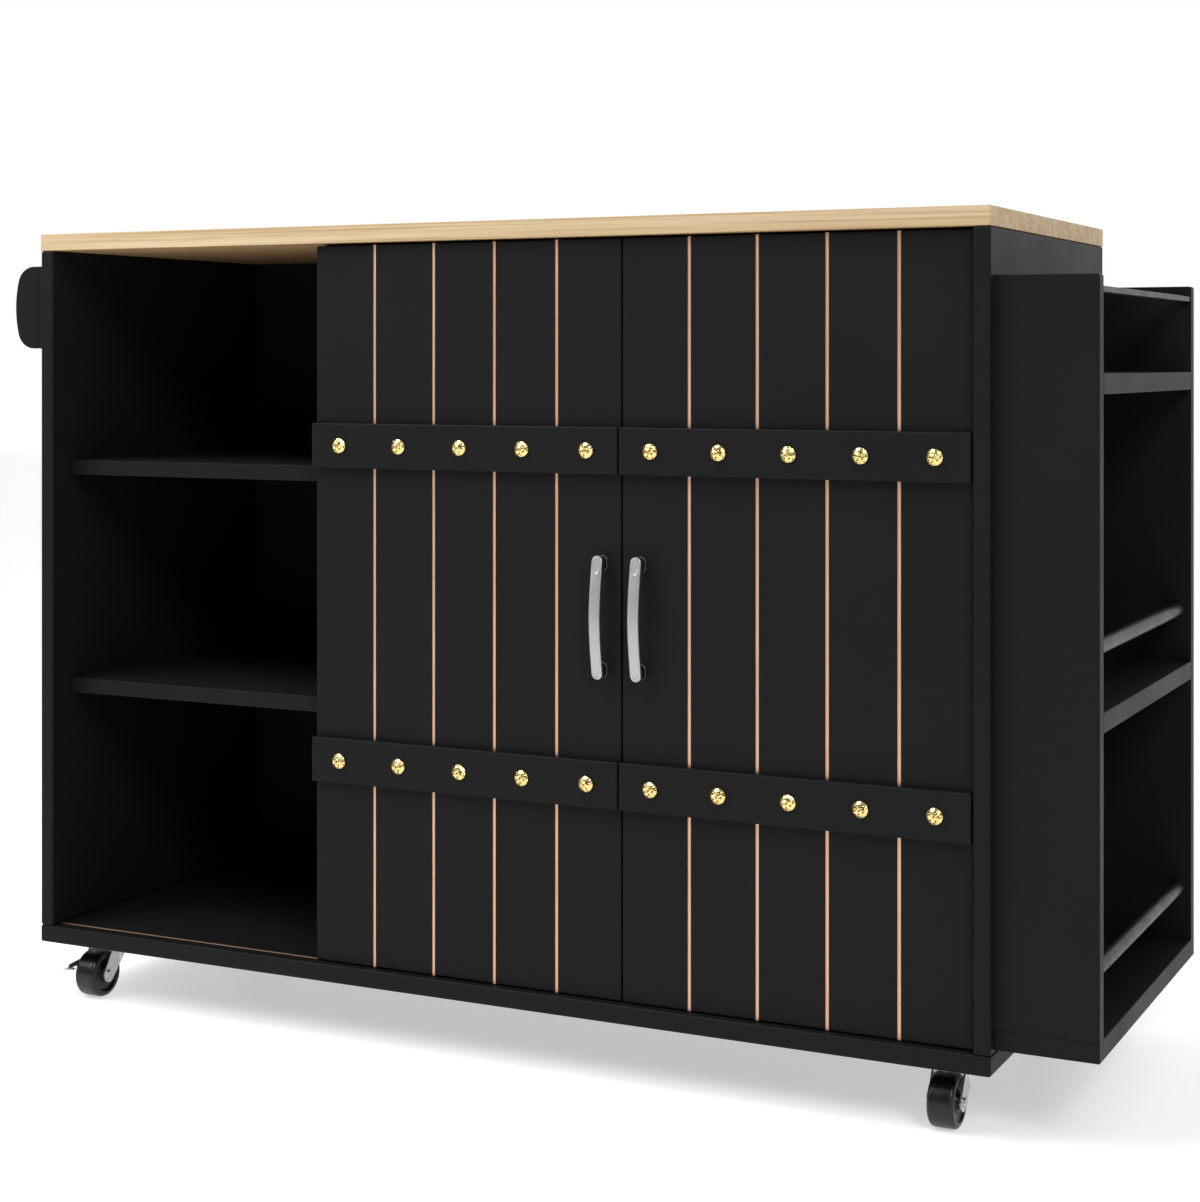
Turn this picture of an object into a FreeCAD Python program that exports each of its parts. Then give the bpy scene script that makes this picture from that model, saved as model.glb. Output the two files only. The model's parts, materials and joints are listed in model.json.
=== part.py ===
import FreeCAD, Part
import math
import os

from FreeCAD import Vector

# A rolling kitchen island cart, in millimetres.
# Everything is drawn in the body frame: X runs right from the body's left side, Y runs back from
# the body's front plane, and Z runs up from the floor. The last step moves the cart so that its
# origin is the bottom centre of its bounding box.

# ---- Driving dimensions: the body ---------------------------------------------------------------
BODY_WIDTH = 1172.0
BODY_DEPTH = 460.0
OVERALL_HEIGHT = 917.0
CASTER_HEIGHT = 67.0
TOP_THICK = 20.0
BASE_THICK = 20.0
PANEL_THICK = 18.0
BACK_THICK = 15.0
BACK_RECESS = 20.0
DIVIDER_LEFT = 387.2
DIVIDER_FRONT = 29.0
SHELF_THICK = 18.0
SHELF_FRONT = 35.0
SHELF_END_PLAY = 1.0
BOARD_ROUND = 1.0
TOUCHING = 0.01
FRONT_ROUND = 3.0
BASE_ROUND = 2.5
LOWER_SHELF_RISE = 305.0
UPPER_SHELF_RISE = 569.0
CABINET_SHELF_RISE = 437.0
PIN_HOLE_STEP = 40.0
PIN_DIAMETER = 5.0
PIN_DEPTH = 8.0
PIN_INSET = 11.0
INLAY_WIDTH = 4.0
INLAY_THICK = 1.0
BASE_INLAY_FRONT = 16.0

# ---- Driving dimensions: the doors --------------------------------------------------------------
DOOR_FACE = 10.0
DOOR_THICK = 18.0
DOOR_SIDE_GAP = 1.6
DOOR_MEETING_GAP = 1.8
DOOR_BOTTOM_GAP = 1.2
DOOR_TOP_GAP = 2.3
DOOR_ROUND = 1.8
GROOVE_DEPTH = 2.0
GROOVE_PITCH = 76.1
GROOVES_PER_DOOR = 4
BATTEN_THICK = 10.0
BATTEN_HEIGHT = 50.0
BATTEN_ROUND = 1.6
LOWER_BATTEN_RISE = 224.8
UPPER_BATTEN_RISE = 578.0
STUD_PITCH = 77.2
STUDS_PER_BATTEN = 5
STUD_DIAMETER = 18.0
STUD_HEIGHT = 5.5
STUD_RIM = 0.8
STUD_SHANK_DIAMETER = 2.5
STUD_SHANK_LENGTH = 8.0
HANDLE_RISE = 427.0
HANDLE_FROM_GAP = 22.5
HANDLE_LENGTH = 131.0
HANDLE_WIDTH = 12.6
HANDLE_THICK = 4.5
HANDLE_END_PROUD = 14.0
HANDLE_MIDDLE_PROUD = 22.0
HANDLE_LEG_SPACING = 113.0
HANDLE_LEG_WIDTH = 11.6
HANDLE_LEG_HEIGHT = 17.0

# ---- Driving dimensions: the concealed hinges ---------------------------------------------------
CUP_DIAMETER = 35.0
CUP_DEPTH = 11.5
CUP_WALL = 1.2
CUP_FROM_EDGE = 22.5
HINGE_FROM_END = 100.0
FLANGE_LENGTH = 52.0
FLANGE_WIDTH = 12.0
FLANGE_THICK = 0.8
LINK_WIDTH = 8.0
LINK_THICK = 6.0
LINK_REACH = 14.0
LINK_CLEARANCE = 0.6
ARM_WIDTH = 15.0
ARM_WALL = 1.2
ARM_HEIGHT = 12.0
ARM_FRONT = 35.0
ARM_LENGTH = 62.0
PLATE_THICK = 4.0
PLATE_FRONT = 54.0
PLATE_LENGTH = 32.0
PLATE_HEIGHT = 46.0
LEFT_HINGE_SPACER = 0.0
RIGHT_HINGE_SPACER = 12.0

# ---- Driving dimensions: the side rack and the towel rail ---------------------------------------
RACK_WIDTH = 104.0
RACK_FRONT = 12.0
RACK_BACK = 458.6
RACK_PANEL_THICK = 16.0
RACK_BASE_RISE = 24.0
RACK_SHELF_THICK = 20.0
RACK_TOP_RISE = 782.0
RACK_MIDDLE_SHELF_RISE = 338.5
RACK_TOP_SHELF_RISE = 665.5
RACK_CORNER_ROUND = 3.0
RAIL_RISE = 764.7
RAIL_HEIGHT = 6.0
RAIL_DEPTH = 14.0
RAIL_ROUND = 1.2
ROD_DIAMETER = 15.5
ROD_FROM_EDGE = 15.4
ROD_SOCKET = 8.0
MIDDLE_ROD_RISE = 417.0
BOTTOM_ROD_RISE = 102.5
TOWEL_REACH = 55.5
TOWEL_BRACKET_THICK = 18.0
TOWEL_BRACKET_FRONT = 20.0
TOWEL_BRACKET_RISE = 713.0
TOWEL_BRACKET_HEIGHT = 99.5
TOWEL_CORNER = 24.0
TOWEL_SIDE_RADIUS = 130.0
TOWEL_ROD_DIAMETER = 16.0
TOWEL_ROD_REACH = 30.0

# ---- Driving dimensions: the fasteners ----------------------------------------------------------
SCREW_DIAMETER = 4.0
SCREW_HEAD_DIAMETER = 8.0
SCREW_HEAD_HEIGHT = 3.0
PAN_HEAD_DIAMETER = 7.2
PAN_HEAD_HEIGHT = 2.1
RACK_SCREW_LENGTH = 42.0
BASE_SCREW_LENGTH = 55.0
DOWEL_DIAMETER = 8.0
DOWEL_LENGTH = 32.0
DOWEL_IN_TOP = 11.0
DOWEL_IN_SIDE = 12.0
DOWEL_SHARES = (0.2, 0.5, 0.8)
TOWEL_DOWEL_SHARES = (0.22, 0.78)
BASE_SCREW_SHARES = (0.28, 0.5, 0.72)
RACK_SCREW_SHARES = (0.25, 0.75)
SCREW_BITE_SHARE = 0.7
BRACKET_SHARES = (0.3, 0.75)
BRACKET_SCREW_SHARE = 0.6
BRACKET_LEG = 30.0
BRACKET_WIDTH = 16.0
BRACKET_THICK = 2.0

# ---- Driving dimensions: the casters ------------------------------------------------------------
CASTER_INSET_X = 55.5
CASTER_INSET_Y = 62.0
CASTER_TRAIL = 24.0
WHEEL_RADIUS = 27.0
WHEEL_WIDTH = 28.0
WHEEL_SHOULDER = 4.0
WHEEL_DISH_RADIUS = 19.5
WHEEL_DISH_DEPTH = 3.0
HUB_RADIUS = 8.0
HUB_PROUD = 0.6
AXLE_DIAMETER = 6.0
RUNNING_GAP = 0.05
CASTER_PLATE_X = 60.0
CASTER_PLATE_Y = 50.0
CASTER_PLATE_THICK = 2.5
CASTER_SCREW_X = 23.0
CASTER_SCREW_Y = 18.0
RACE_RADIUS = 17.0
RACE_HEIGHT = 5.5
RACE_GAP = 0.5
CROWN_THICK = 3.0
LEG_THICK = 2.0
LEG_GAP = 1.0
LEG_END_RADIUS = 9.5
LEG_TOP_HALF = 16.0
RIB_DIAMETER = 3.8
RIB_FORWARD = 3.0
RIB_FOOT = 40.0
KINGPIN_DIAMETER = 8.0
KINGPIN_HEAD_DIAMETER = 12.0
KINGPIN_HEAD_HEIGHT = 2.0
AXLE_HEAD_DIAMETER = 10.0
AXLE_HEAD_HEIGHT = 2.5
PEDAL_PIVOT_BACK = 14.0
PEDAL_PIVOT_HEIGHT = 41.0
PEDAL_RIVET_DIAMETER = 4.0
PEDAL_RIVET_HEAD = 1.0
PEDAL_RIVET_HEAD_DIAMETER = 6.4
PEDAL_THICK = 1.5
PEDAL_GAP = 0.4
PEDAL_RADIUS = 4.5
PEDAL_TAB_BACK = 54.0
PEDAL_TAB_SHOULDER = 60.0
PEDAL_TAB_TIP = 64.5
PEDAL_TAB_HEIGHT = 37.0
PEDAL_TAB_WIDTH = 10.0
PEDAL_TAB_POINT = 4.0

# ---- Levels and faces worked out from the driving dimensions ------------------------------------
BASE_BOTTOM = CASTER_HEIGHT
BASE_TOP = BASE_BOTTOM + BASE_THICK
TOP_UNDERSIDE = OVERALL_HEIGHT - TOP_THICK
RIGHT_INNER = BODY_WIDTH - PANEL_THICK
DIVIDER_RIGHT = DIVIDER_LEFT + PANEL_THICK
BACK_OUTER = BODY_DEPTH - BACK_RECESS
BACK_INNER = BACK_OUTER - BACK_THICK
PIN_COLUMNS = (SHELF_FRONT + PIN_INSET, BACK_INNER - SHELF_FRONT)
DOOR_BACK = DOOR_FACE + DOOR_THICK
DOOR_BOTTOM = BASE_TOP + DOOR_BOTTOM_GAP
DOOR_TOP = TOP_UNDERSIDE - DOOR_TOP_GAP
DOOR_WIDTH = (RIGHT_INNER - DOOR_SIDE_GAP - DIVIDER_LEFT - DOOR_MEETING_GAP) / 2
LEFT_DOOR_X = (DIVIDER_LEFT, DIVIDER_LEFT + DOOR_WIDTH)
RIGHT_DOOR_X = (LEFT_DOOR_X[1] + DOOR_MEETING_GAP, RIGHT_INNER - DOOR_SIDE_GAP)
DOOR_GAP_CENTRE = LEFT_DOOR_X[1] + DOOR_MEETING_GAP / 2
BATTEN_FACE = DOOR_FACE - BATTEN_THICK
RACK_OUTER = BODY_WIDTH + RACK_WIDTH
RACK_BASE_BOTTOM = BASE_BOTTOM + RACK_BASE_RISE
RACK_BASE_TOP = RACK_BASE_BOTTOM + RACK_SHELF_THICK
RACK_INNER_Y = (RACK_FRONT + RACK_PANEL_THICK, RACK_BACK - RACK_PANEL_THICK)
ROD_X = RACK_OUTER - ROD_FROM_EDGE
ORIGIN = Vector(
    (RACK_OUTER - TOWEL_REACH) / 2,
    (BODY_DEPTH + DOOR_FACE - HANDLE_MIDDLE_PROUD) / 2,
    0,
)


# ---- Basic shapes -------------------------------------------------------------------------------
def box(x, y, z):
    """A box from three (low, high) pairs."""
    return Part.makeBox(x[1] - x[0], y[1] - y[0], z[1] - z[0], Vector(x[0], y[0], z[0]))


def board(x, y, z, rounding=BOARD_ROUND):
    """A panel with all its edges rounded."""
    solid = box(x, y, z)
    return solid.makeFillet(rounding, solid.Edges)


def rod(start, direction, length, diameter):
    """A round bar from a start point."""
    return Part.makeCylinder(diameter / 2, length, start, direction)


def turned(profile, centre, direction):
    """A solid turned from (radius, height) points, its height axis laid along a direction."""
    points = [Vector(radius, 0, height) for radius, height in profile]
    face = Part.Face(Part.makePolygon(points + points[:1]))
    solid = face.revolve(Vector(0, 0, 0), Vector(0, 0, 1), 360)
    solid.Placement = FreeCAD.Placement(centre, FreeCAD.Rotation(Vector(0, 0, 1), direction))
    return solid


def countersunk_screw(head, direction, length, diameter=SCREW_DIAMETER):
    """A wood screw whose head lies flush at the given point and points along the direction."""
    profile = (
        (0, 0),
        (SCREW_HEAD_DIAMETER / 2, 0),
        (diameter / 2, SCREW_HEAD_HEIGHT),
        (diameter / 2, length - diameter),
        (0, length),
    )
    return turned(profile, head, direction)


def pan_head_screw(seat_point, direction, length):
    """A screw with a low round head that stands off the face it seats on."""
    shank = rod(seat_point, direction, length, SCREW_DIAMETER)
    head = rod(seat_point, direction * -1, PAN_HEAD_HEIGHT, PAN_HEAD_DIAMETER)
    return shank.fuse(head).removeSplitter()


def seat(solid, inserts):
    """Cut the pockets that a list of fasteners or inserts needs out of a solid."""
    for insert in inserts:
        if solid.BoundBox.intersect(insert.BoundBox):
            solid = solid.cut(insert)
    return solid


def group(solids):
    """Several separate solids kept as one sub-part."""
    return Part.makeCompound(solids)


def slab_outline(points, thickness_axis, start, thickness):
    """Extrude a closed outline of edges along an axis."""
    face = Part.Face(Part.Wire(points))
    face.translate(thickness_axis * start)
    return face.extrude(thickness_axis * thickness)


# ---- Inserts and fasteners ----------------------------------------------------------------------
def shelf_pin_rows():
    """Every shelf: its middle height, and the X of the two faces that carry its pins."""
    open_faces = (PANEL_THICK, DIVIDER_LEFT)
    cabinet_faces = (DIVIDER_RIGHT, RIGHT_INNER)
    return (
        (BASE_BOTTOM + LOWER_SHELF_RISE, open_faces),
        (BASE_BOTTOM + UPPER_SHELF_RISE, open_faces),
        (BASE_BOTTOM + CABINET_SHELF_RISE - SHELF_THICK / 2 - PIN_DIAMETER / 2, cabinet_faces),
    )


def shelf_pins():
    """Steel pins in the panels: inside the ends of the fixed shelves, under the loose one."""
    pins = []
    for height, faces in shelf_pin_rows():
        for column in PIN_COLUMNS:
            left = Vector(faces[0] - PIN_DEPTH, column, height)
            right = Vector(faces[1] + PIN_DEPTH, column, height)
            pins.append(rod(left, Vector(1, 0, 0), 2 * PIN_DEPTH, PIN_DIAMETER))
            pins.append(rod(right, Vector(-1, 0, 0), 2 * PIN_DEPTH, PIN_DIAMETER))
    return pins


def spare_pin_holes():
    """The empty holes above and below every shelf pin."""
    holes = []
    for height, faces in shelf_pin_rows():
        for column in PIN_COLUMNS:
            for step in (-PIN_HOLE_STEP, PIN_HOLE_STEP):
                left = Vector(faces[0], column, height + step)
                right = Vector(faces[1], column, height + step)
                holes.append(rod(left, Vector(-1, 0, 0), PIN_DEPTH, PIN_DIAMETER))
                holes.append(rod(right, Vector(1, 0, 0), PIN_DEPTH, PIN_DIAMETER))
    return holes


def upright_centres():
    """The X of the middle of each upright panel."""
    half = PANEL_THICK / 2
    return (half, DIVIDER_LEFT + half, BODY_WIDTH - half)


def panel_dowels():
    """Wooden dowels between the countertop and the upright panels."""
    foot = TOP_UNDERSIDE + DOWEL_IN_TOP - DOWEL_LENGTH
    dowels = []
    for x in upright_centres():
        for share in DOWEL_SHARES:
            start = Vector(x, BODY_DEPTH * share, foot)
            dowels.append(rod(start, Vector(0, 0, 1), DOWEL_LENGTH, DOWEL_DIAMETER))
    return dowels


def towel_dowels():
    """Wooden dowels, two to a bracket, glued into the left side panel."""
    dowels = []
    for y in towel_bracket_centres():
        for share in TOWEL_DOWEL_SHARES:
            z = BASE_BOTTOM + TOWEL_BRACKET_RISE + share * TOWEL_BRACKET_HEIGHT
            start = Vector(DOWEL_IN_SIDE, y, z)
            dowels.append(rod(start, Vector(-1, 0, 0), DOWEL_LENGTH, DOWEL_DIAMETER))
    return dowels


def base_screws():
    """Long screws driven up through the base board into the upright panels."""
    screws = []
    for x in upright_centres():
        for share in BASE_SCREW_SHARES:
            head = Vector(x, BODY_DEPTH * share, BASE_BOTTOM)
            screws.append(countersunk_screw(head, Vector(0, 0, 1), BASE_SCREW_LENGTH))
    return screws


def side_fixing_screws():
    """Screws from inside the body that hold the side rack."""
    screws = []
    rack_heights = (
        RACK_BASE_BOTTOM + RACK_SHELF_THICK / 2,
        BASE_BOTTOM + RACK_MIDDLE_SHELF_RISE + RACK_SHELF_THICK / 2,
        BASE_BOTTOM + RACK_TOP_SHELF_RISE + RACK_SHELF_THICK / 2,
    )
    for z in rack_heights:
        for share in RACK_SCREW_SHARES:
            head = Vector(RIGHT_INNER, BODY_DEPTH * share, z)
            screws.append(countersunk_screw(head, Vector(1, 0, 0), RACK_SCREW_LENGTH))
    front_panel = RACK_FRONT + RACK_PANEL_THICK / 2
    for share in RACK_SCREW_SHARES:
        head = Vector(RIGHT_INNER, front_panel, BASE_BOTTOM + RACK_TOP_RISE * share)
        screws.append(countersunk_screw(head, Vector(1, 0, 0), RACK_SCREW_LENGTH))
    return screws


def corner_bracket(x, y, away):
    """A steel angle under the countertop: one leg on an upright face, one under the top."""
    out = (min(x, x + away * BRACKET_LEG), max(x, x + away * BRACKET_LEG))
    wall = (min(x, x + away * BRACKET_THICK), max(x, x + away * BRACKET_THICK))
    width = (y, y + BRACKET_WIDTH)
    upright = box(wall, width, (TOP_UNDERSIDE - BRACKET_LEG, TOP_UNDERSIDE))
    flat = box(out, width, (TOP_UNDERSIDE - BRACKET_THICK, TOP_UNDERSIDE))
    return upright.fuse(flat).removeSplitter()


def countertop_brackets():
    """Four steel angles inside the closed cabinet, with the screws that hold them."""
    brackets = []
    screws = []
    middle = BRACKET_LEG * BRACKET_SCREW_SHARE
    for x, away in ((DIVIDER_RIGHT, 1), (RIGHT_INNER, -1)):
        for share in BRACKET_SHARES:
            y = BODY_DEPTH * share
            centre = y + BRACKET_WIDTH / 2
            under = Vector(x + away * middle, centre, TOP_UNDERSIDE - BRACKET_THICK)
            beside = Vector(x + away * BRACKET_THICK, centre, TOP_UNDERSIDE - middle)
            screws.append(pan_head_screw(under, Vector(0, 0, 1), TOP_THICK * SCREW_BITE_SHARE))
            screws.append(pan_head_screw(beside, Vector(-away, 0, 0), PANEL_THICK * SCREW_BITE_SHARE))
            brackets.append(corner_bracket(x, y, away))
    return [seat(bracket, screws) for bracket in brackets], screws


# ---- Body boards --------------------------------------------------------------------------------
def base_inlay():
    """The metallic line let into the top of the base board, under the doors."""
    return box(
        (PANEL_THICK, RIGHT_INNER),
        (BASE_INLAY_FRONT, BASE_INLAY_FRONT + INLAY_WIDTH),
        (BASE_TOP - INLAY_THICK, BASE_TOP),
    )


def body_boards(inserts):
    """The boards of the body, with their pockets cut."""
    upright = (BASE_TOP, TOP_UNDERSIDE)
    full_width = (0, BODY_WIDTH)
    full_depth = (0, BODY_DEPTH)
    back = (BACK_INNER, BACK_OUTER)
    divider_depth = (DIVIDER_FRONT, BACK_OUTER)
    boards = {
        "countertop": board(full_width, full_depth, (TOP_UNDERSIDE, OVERALL_HEIGHT)),
        "base_board": board(full_width, full_depth, (BASE_BOTTOM, BASE_TOP), BASE_ROUND),
        "left_side_panel": board((0, PANEL_THICK), full_depth, upright, FRONT_ROUND),
        "right_side_panel": board((RIGHT_INNER, BODY_WIDTH), full_depth, upright, FRONT_ROUND),
        "center_divider": board((DIVIDER_LEFT, DIVIDER_RIGHT), divider_depth, upright),
        "back_panel_left": box((PANEL_THICK, DIVIDER_LEFT), back, upright),
        "back_panel_right": box((DIVIDER_RIGHT, RIGHT_INNER), back, upright),
    }
    boards["base_board"] = boards["base_board"].cut(base_inlay())
    return {name: seat(solid, inserts) for name, solid in boards.items()}


def shelf(left, right, rise, inserts):
    """A shelf between two faces, its front edge set back from the body's front."""
    middle = BASE_BOTTOM + rise
    solid = board(
        (left, right),
        (SHELF_FRONT, BACK_INNER),
        (middle - SHELF_THICK / 2, middle + SHELF_THICK / 2),
    )
    return seat(solid, inserts)


# ---- Side rack and towel rail -------------------------------------------------------------------
def rack_end_panel(front, inserts):
    """An upright end panel of the rack, standing on the rack's base."""
    solid = box(
        (BODY_WIDTH, RACK_OUTER),
        (front, front + RACK_PANEL_THICK),
        (RACK_BASE_TOP, BASE_BOTTOM + RACK_TOP_RISE),
    )
    top_corner = [
        edge
        for edge in solid.Edges
        if abs(edge.CenterOfMass.x - RACK_OUTER) < TOUCHING
        and abs(edge.CenterOfMass.z - BASE_BOTTOM - RACK_TOP_RISE) < TOUCHING
    ]
    solid = solid.makeFillet(RACK_CORNER_ROUND, top_corner)
    faces = [
        edge
        for edge in solid.Edges
        if edge.CenterOfMass.z > RACK_BASE_TOP + 1 and abs(edge.CenterOfMass.x - BODY_WIDTH) > TOUCHING
        and (abs(edge.CenterOfMass.y - front) < TOUCHING
             or abs(edge.CenterOfMass.y - front - RACK_PANEL_THICK) < TOUCHING)
    ]
    return seat(solid.makeFillet(BOARD_ROUND, faces), inserts)


def rack_shelf(rise, inserts):
    """A rack shelf between the end panels, flush with their outer edges."""
    solid = board(
        (BODY_WIDTH, RACK_OUTER),
        RACK_INNER_Y,
        (BASE_BOTTOM + rise, BASE_BOTTOM + rise + RACK_SHELF_THICK),
    )
    return seat(solid, inserts)


def rack_rod(rise):
    """A round guard rod whose ends sit in the end panels."""
    start = Vector(ROD_X, RACK_INNER_Y[0] - ROD_SOCKET, BASE_BOTTOM + rise)
    length = RACK_INNER_Y[1] - RACK_INNER_Y[0] + 2 * ROD_SOCKET
    return rod(start, Vector(0, 1, 0), length, ROD_DIAMETER)


def rack_top_rail():
    """The slim flat rail across the top of the rack's open side."""
    return board(
        (RACK_OUTER - BOARD_ROUND - RAIL_DEPTH, RACK_OUTER - BOARD_ROUND),
        RACK_INNER_Y,
        (BASE_BOTTOM + RAIL_RISE, BASE_BOTTOM + RAIL_RISE + RAIL_HEIGHT),
        RAIL_ROUND,
    )


def side_rack(screws):
    """Every board and rod of the side rack."""
    rods = {
        "rack_middle_rod": rack_rod(MIDDLE_ROD_RISE),
        "rack_bottom_rod": rack_rod(BOTTOM_ROD_RISE),
    }
    inserts = screws + list(rods.values())
    rack = {
        "rack_base": seat(
            board(
                (BODY_WIDTH, RACK_OUTER),
                (RACK_FRONT, RACK_BACK),
                (RACK_BASE_BOTTOM, RACK_BASE_TOP),
            ),
            screws,
        ),
        "rack_front_panel": rack_end_panel(RACK_FRONT, inserts),
        "rack_back_panel": rack_end_panel(RACK_INNER_Y[1], inserts),
        "rack_middle_shelf": rack_shelf(RACK_MIDDLE_SHELF_RISE, screws),
        "rack_top_shelf": rack_shelf(RACK_TOP_SHELF_RISE, screws),
        "rack_top_rail": rack_top_rail(),
    }
    return {**rack, **rods}


def towel_bracket_centres():
    """The Y of the middle of the front and the rear towel bracket."""
    half = TOWEL_BRACKET_THICK / 2
    return (TOWEL_BRACKET_FRONT + half, BODY_DEPTH - TOWEL_BRACKET_FRONT - half)


def towel_rod():
    """The towel rail, held in a socket in each bracket."""
    front, rear = towel_bracket_centres()
    height = BASE_BOTTOM + TOWEL_BRACKET_RISE + TOWEL_BRACKET_HEIGHT / 2
    start = Vector(-TOWEL_ROD_REACH, front, height)
    return rod(start, Vector(0, 1, 0), rear - front, TOWEL_ROD_DIAMETER)


def towel_bracket(centre, inserts):
    """A bracket whose outer side bows out between two large round corners."""
    bottom = BASE_BOTTOM + TOWEL_BRACKET_RISE
    top = bottom + TOWEL_BRACKET_HEIGHT
    middle = (bottom + top) / 2
    bow_x = TOWEL_SIDE_RADIUS - TOWEL_REACH
    inner_radius = TOWEL_SIDE_RADIUS - TOWEL_CORNER
    corner_rise = TOWEL_BRACKET_HEIGHT / 2 - TOWEL_CORNER
    corner_x = bow_x - math.sqrt(inner_radius**2 - corner_rise**2)
    heading = math.atan2(corner_rise, corner_x - bow_x)
    bisector = (heading + math.pi / 2) / 2

    def point(x, z, radius, angle, sign):
        return Vector(x + radius * math.cos(angle), 0, middle + sign * (z + radius * math.sin(angle)))

    touch = [point(bow_x, 0, TOWEL_SIDE_RADIUS, heading, sign) for sign in (1, -1)]
    bend = [point(corner_x, corner_rise, TOWEL_CORNER, bisector, sign) for sign in (1, -1)]
    outline = [
        Part.makePolygon([Vector(corner_x, 0, bottom), Vector(0, 0, bottom),
                          Vector(0, 0, top), Vector(corner_x, 0, top)]),
        Part.Arc(Vector(corner_x, 0, top), bend[0], touch[0]).toShape(),
        Part.Arc(touch[0], Vector(-TOWEL_REACH, 0, middle), touch[1]).toShape(),
        Part.Arc(touch[1], bend[1], Vector(corner_x, 0, bottom)).toShape(),
    ]
    front = centre - TOWEL_BRACKET_THICK / 2
    solid = slab_outline(outline, Vector(0, 1, 0), front, TOWEL_BRACKET_THICK)
    rims = [
        edge
        for edge in solid.Edges
        if abs(abs(edge.CenterOfMass.y - centre) - TOWEL_BRACKET_THICK / 2) < TOUCHING
        and edge.CenterOfMass.x < -TOUCHING
    ]
    return seat(solid.makeFillet(BOARD_ROUND, rims), inserts)


# ---- Doors --------------------------------------------------------------------------------------
def groove_centres(door_x):
    """The X of every groove in a door's face."""
    middle = sum(door_x) / 2
    first = -(GROOVES_PER_DOOR - 1) / 2
    return [middle + (first + index) * GROOVE_PITCH for index in range(GROOVES_PER_DOOR)]


def door_inlays(door_x):
    """The metallic lines at the bottom of the door's grooves."""
    strips = []
    floor_of_groove = DOOR_FACE + GROOVE_DEPTH
    for x in groove_centres(door_x):
        strips.append(
            box(
                (x - INLAY_WIDTH / 2, x + INLAY_WIDTH / 2),
                (floor_of_groove - INLAY_THICK, floor_of_groove),
                (DOOR_BOTTOM, DOOR_TOP),
            )
        )
    return strips


def door_panel(door_x, inserts):
    """The door board with its grooves, cup pockets and screw holes."""
    solid = board(door_x, (DOOR_FACE, DOOR_BACK), (DOOR_BOTTOM, DOOR_TOP), DOOR_ROUND)
    for x in groove_centres(door_x):
        groove = box(
            (x - INLAY_WIDTH / 2, x + INLAY_WIDTH / 2),
            (DOOR_FACE - 1, DOOR_FACE + GROOVE_DEPTH),
            (DOOR_BOTTOM - 1, DOOR_TOP + 1),
        )
        solid = solid.cut(groove)
    return seat(solid, inserts)


def stud(x, z):
    """A domed nail: a shallow round head on a thin rim, and a short shank."""
    radius = STUD_DIAMETER / 2
    dome_height = STUD_HEIGHT - STUD_RIM
    curvature = (radius**2 + dome_height**2) / (2 * dome_height)
    rim_latitude = math.degrees(math.asin((curvature - dome_height) / curvature))
    outward = Vector(0, -1, 0)
    sphere_centre = Vector(x, BATTEN_FACE - STUD_HEIGHT + curvature, z)
    dome = Part.makeSphere(curvature, sphere_centre, outward, rim_latitude, 90, 360)
    seat_point = Vector(x, BATTEN_FACE, z)
    rim = rod(seat_point, outward, STUD_RIM, STUD_DIAMETER)
    shank = rod(seat_point, outward * -1, STUD_SHANK_LENGTH, STUD_SHANK_DIAMETER)
    return dome.multiFuse([rim, shank]).removeSplitter()


def batten_studs(door_x, rise):
    """The row of studs along one batten."""
    middle = sum(door_x) / 2
    height = BASE_BOTTOM + rise + BATTEN_HEIGHT / 2
    first = -(STUDS_PER_BATTEN - 1) / 2
    return [
        stud(middle + (first + index) * STUD_PITCH, height) for index in range(STUDS_PER_BATTEN)
    ]


def batten(door_x, rise, studs):
    """A flat strap across the whole width of a door."""
    solid = board(
        door_x,
        (BATTEN_FACE, DOOR_FACE),
        (BASE_BOTTOM + rise, BASE_BOTTOM + rise + BATTEN_HEIGHT),
        BATTEN_ROUND,
    )
    return seat(solid, studs)


def handle_leg_heights():
    """The Z of a handle's two screws, each up the middle of a leg."""
    middle = BASE_BOTTOM + HANDLE_RISE
    return (middle - HANDLE_LEG_SPACING / 2, middle + HANDLE_LEG_SPACING / 2)


def handle_leg(x, z):
    """A leg with round ends that reaches from the door into the bow."""
    radius = HANDLE_LEG_WIDTH / 2
    straight = HANDLE_LEG_HEIGHT / 2 - radius
    depth = (DOOR_FACE - HANDLE_END_PROUD + HANDLE_THICK / 2, DOOR_FACE)
    leg = box((x - radius, x + radius), depth, (z - straight, z + straight))
    for end in (z - straight, z + straight):
        start = Vector(x, depth[0], end)
        leg = leg.fuse(rod(start, Vector(0, 1, 0), depth[1] - depth[0], HANDLE_LEG_WIDTH))
    return leg


def handle_screws(x):
    """Machine screws from the back of the door into the handle's legs."""
    screws = []
    reach = DOOR_THICK + HANDLE_END_PROUD - HANDLE_THICK
    for z in handle_leg_heights():
        screws.append(pan_head_screw(Vector(x, DOOR_BACK, z), Vector(0, -1, 0), reach))
    return screws


def arc_through_bow(offset):
    """The bow's arc in the YZ plane, moved towards the door by an offset."""
    middle = BASE_BOTTOM + HANDLE_RISE
    half = HANDLE_LENGTH / 2
    end_y = DOOR_FACE - HANDLE_END_PROUD + offset
    middle_y = DOOR_FACE - HANDLE_MIDDLE_PROUD + offset
    low = Vector(0, end_y, middle - half)
    top = Vector(0, end_y, middle + half)
    return Part.Arc(low, Vector(0, middle_y, middle), top).toShape(), low, top


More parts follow.
